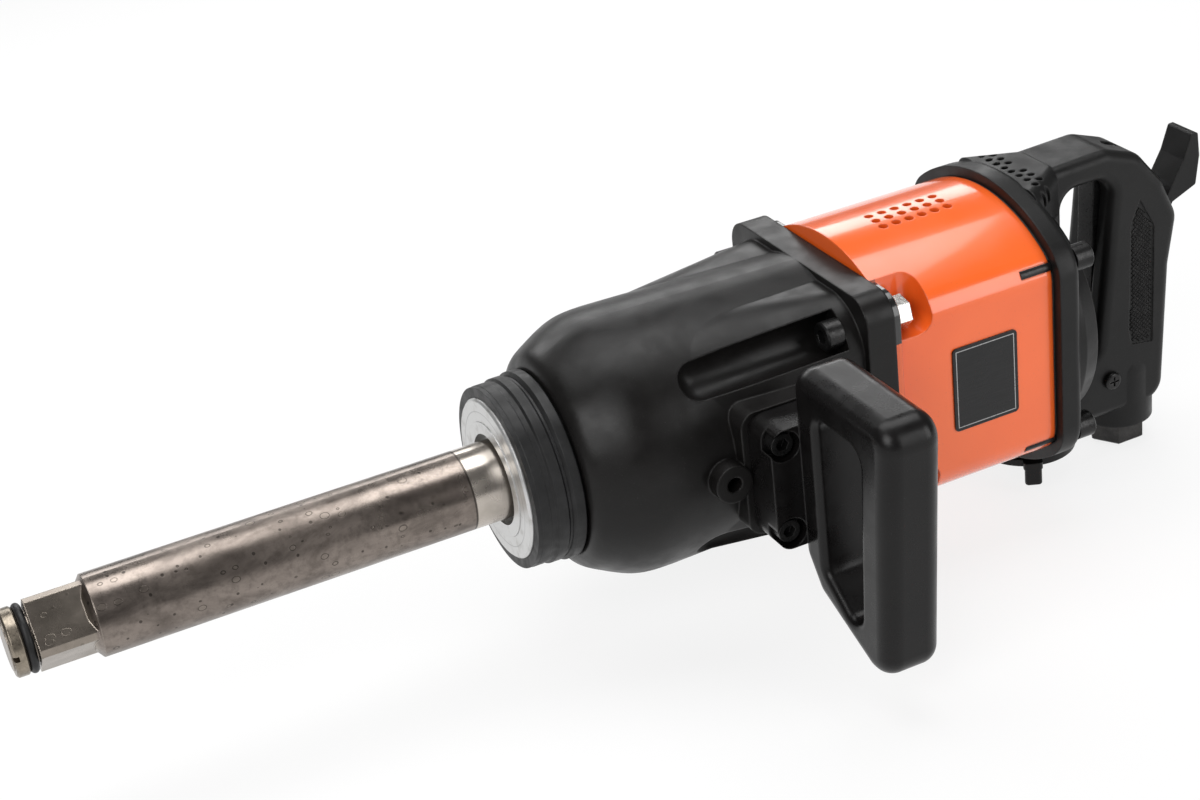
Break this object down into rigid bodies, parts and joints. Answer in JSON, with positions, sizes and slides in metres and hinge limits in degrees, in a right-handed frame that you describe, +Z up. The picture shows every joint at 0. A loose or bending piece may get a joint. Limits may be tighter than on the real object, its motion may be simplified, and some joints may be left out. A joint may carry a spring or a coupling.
{
  "type": "pneumatic impact wrench",
  "caption": "Straight one-inch air impact wrench with a long square-drive anvil, a bolted side handle, an orange motor housing and a rear D-handle with a trigger bar.",
  "frame": {"origin": "on the drive axis, at the front face of the nose ring", "axes": "+X along the drive axis from the square towards the D-handle, -Y towards the side handle, +Z up along the D-handle"},
  "size_m": [0.5738, 0.209, 0.1566],
  "materials": {
    "orange_paint": "glossy sprayed enamel over a casting",
    "black_casting": "satin black coating over a sand-cast texture",
    "black_coated_handle": "semi-gloss black coating",
    "oiled_steel": "turned and oiled steel",
    "hard_steel": "ground hardened steel",
    "black_oxide": "black oxide fastener steel",
    "zinc_steel": "zinc-plated steel",
    "bright_ring": "bright turned face",
    "bronze": "plain bearing bronze",
    "black_rubber": "moulded rubber",
    "gasket_paper": "compressed gasket sheet",
    "mesh_steel": "wire mesh",
    "label_black": "bare lacquered plate",
    "vane_composite": "fibre composite"
  },
  "bodies": {
    "tool": {"hammer_case": "black_casting", "case_bolts": "black_oxide", "case_nuts": "zinc_steel", "case_washers": "zinc_steel", "case_gasket": "gasket_paper", "anvil_bushing": "bronze", "nose_ring": "bright_ring", "nose_guard": "black_rubber", "anvil_seal": "black_rubber", "side_handle": "black_coated_handle", "side_handle_bolts": "black_oxide", "front_end_plate": "hard_steel", "front_bearing_outer": "hard_steel", "rear_bearing_outer": "hard_steel", "rear_end_plate": "hard_steel", "cylinder": "hard_steel", "cylinder_dowel": "hard_steel", "motor_housing": "orange_paint", "exhaust_screen": "mesh_steel", "name_plate": "label_black", "rear_gasket": "gasket_paper", "rear_head": "black_casting", "rear_head_bolts": "black_oxide", "handle_screws": "black_oxide", "oil_plug": "black_oxide", "trigger_pin": "hard_steel", "paddle_pin": "hard_steel", "valve_seat": "bronze", "valve_spring": "hard_steel", "air_inlet": "zinc_steel", "inlet_screen": "mesh_steel", "detent_ball": "hard_steel", "detent_plunger": "hard_steel"},
    "motor": {"rotor": "hard_steel", "rotor_vanes": "vane_composite", "hammer_cage": "hard_steel", "hammer_pins": "hard_steel", "front_bearing_inner": "hard_steel", "rear_bearing_inner": "hard_steel", "front_bearing_balls": "hard_steel", "rear_bearing_balls": "hard_steel"},
    "front_hammer": {"hammer_front": "hard_steel"},
    "rear_hammer": {"hammer_rear": "hard_steel"},
    "anvil": {"anvil": "oiled_steel", "socket_o_ring": "black_rubber", "friction_ring": "black_oxide"},
    "trigger": {"trigger": "black_oxide"},
    "paddle": {"paddle_lever": "black_casting"},
    "throttle": {"valve_rod": "hard_steel", "throttle_valve": "black_rubber"},
    "reverse": {"reverse_valve": "hard_steel", "reverse_lever": "black_coated_handle", "reverse_lever_screw": "black_oxide"}
  },
  "joints": [
    {"name": "motor_spin", "type": "hinge", "parent": "tool", "child": "motor", "pos_m": [0, 0, 0], "axis": [1, 0, 0], "continuous": true},
    {"name": "anvil_spin", "type": "hinge", "parent": "tool", "child": "anvil", "pos_m": [0, 0, 0], "axis": [1, 0, 0], "continuous": true},
    {"name": "front_hammer_swing", "type": "hinge", "parent": "motor", "child": "front_hammer", "pos_m": [0.0723, 0, 0.031], "axis": [1, 0, 0], "range_deg": [0, 5]},
    {"name": "rear_hammer_swing", "type": "hinge", "parent": "motor", "child": "rear_hammer", "pos_m": [0.1013, 0, -0.031], "axis": [1, 0, 0], "range_deg": [0, 5]},
    {"name": "trigger_pull", "type": "hinge", "parent": "tool", "child": "trigger", "pos_m": [0.3148, 0, 0.0068], "axis": [0, 1, 0], "range_deg": [0, 9], "stiffness_Nm_per_rad": 2},
    {"name": "paddle_press", "type": "hinge", "parent": "tool", "child": "paddle", "pos_m": [0.333, 0, 0.008], "axis": [0, 1, 0], "range_deg": [-4.22, 0]},
    {"name": "throttle_lift", "type": "slide", "parent": "tool", "child": "throttle", "axis": [0, 0, 1], "range_m": [-0.00093, 0], "deforming": ["valve_spring"]},
    {"name": "reverse_turn", "type": "hinge", "parent": "tool", "child": "reverse", "pos_m": [0.268, 0, -0.06], "axis": [0, 0, 1], "range_deg": [0, 40]}
  ],
  "couplings": [
    {"joint": "anvil_spin", "follows": "motor_spin", "ratio": 1},
    {"joint": "paddle_press", "follows": "trigger_pull", "ratio": -0.468},
    {"joint": "throttle_lift", "follows": "trigger_pull", "m_per_rad": -0.0058}
  ]
}
